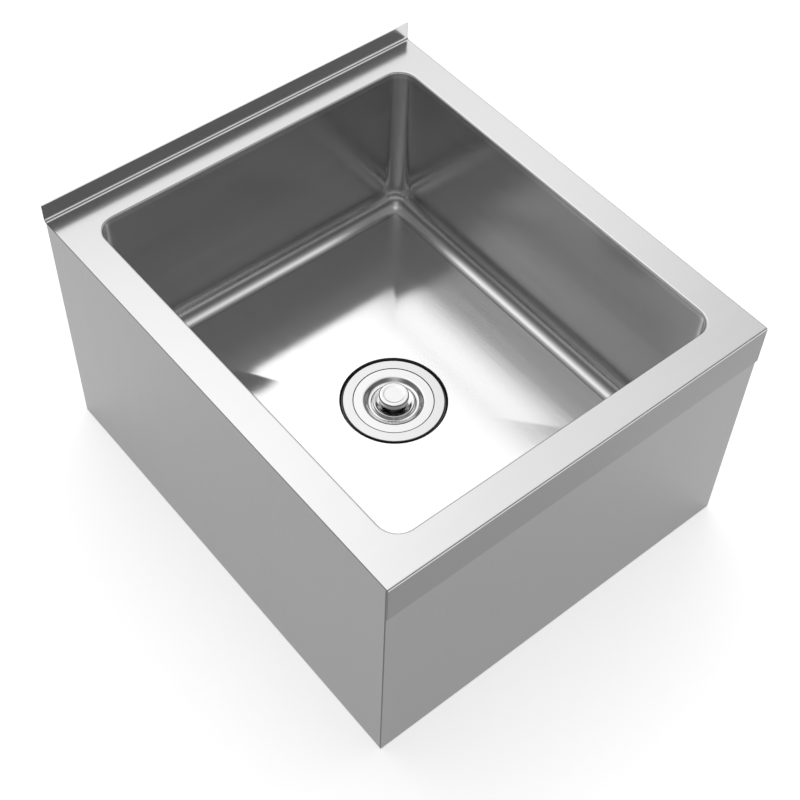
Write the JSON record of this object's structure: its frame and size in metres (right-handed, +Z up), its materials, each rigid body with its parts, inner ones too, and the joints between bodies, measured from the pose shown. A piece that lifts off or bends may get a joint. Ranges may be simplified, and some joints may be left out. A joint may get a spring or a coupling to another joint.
{
  "type": "mop service sink",
  "caption": "Floor-standing stainless mop sink: deep coved bowl, flat deck with low backsplash, full skirt, and a basket strainer drain with a lift-off lid and knob.",
  "frame": {"origin": "bottom centre of the bounding box, on the floor, midway between the sides and midway between front and wall", "axes": "+X across the front to the right as seen from the front, +Y from the front to the wall, +Z up"},
  "size_m": [0.483, 0.562, 0.336],
  "materials": {
    "deck_steel": "brushed, satin",
    "bowl_steel": "fine brushed",
    "skirt_steel": "brushed, satin",
    "drain_steel": "turned and brushed",
    "lid_steel": "spun and polished",
    "tail_chrome": "bright chrome plate",
    "nut_brass": "cast, dull",
    "black_rubber": "matt",
    "seal_white": "soft, matt",
    "fibre": "fibre board"
  },
  "bodies": {
    "sink": {"deck": "deck_steel", "bowl": "bowl_steel", "front_panel": "skirt_steel", "skirt_wrap": "skirt_steel", "corner_gussets": "skirt_steel", "sound_pads": "black_rubber", "drain_body": "drain_steel", "flange_seal": "seal_white", "clamp_gasket": "black_rubber", "friction_ring": "fibre", "lock_nut": "nut_brass", "tailpiece": "tail_chrome", "tailpiece_washer": "seal_white", "coupling_nut": "nut_brass"},
    "basket": {"waste_basket": "drain_steel", "basket_handle": "drain_steel"},
    "lid": {"drain_lid": "lid_steel", "lid_seal": "black_rubber", "lid_knob": "lid_steel", "knob_screw": "tail_chrome"}
  },
  "joints": [
    {"name": "basket_lift", "type": "slide", "parent": "sink", "child": "basket", "axis": [0, 0, 1], "range_m": [0, 0.12]},
    {"name": "lid_lift", "type": "slide", "parent": "basket", "child": "lid", "axis": [0, 0, 1], "range_m": [0, 0.12]}
  ]
}
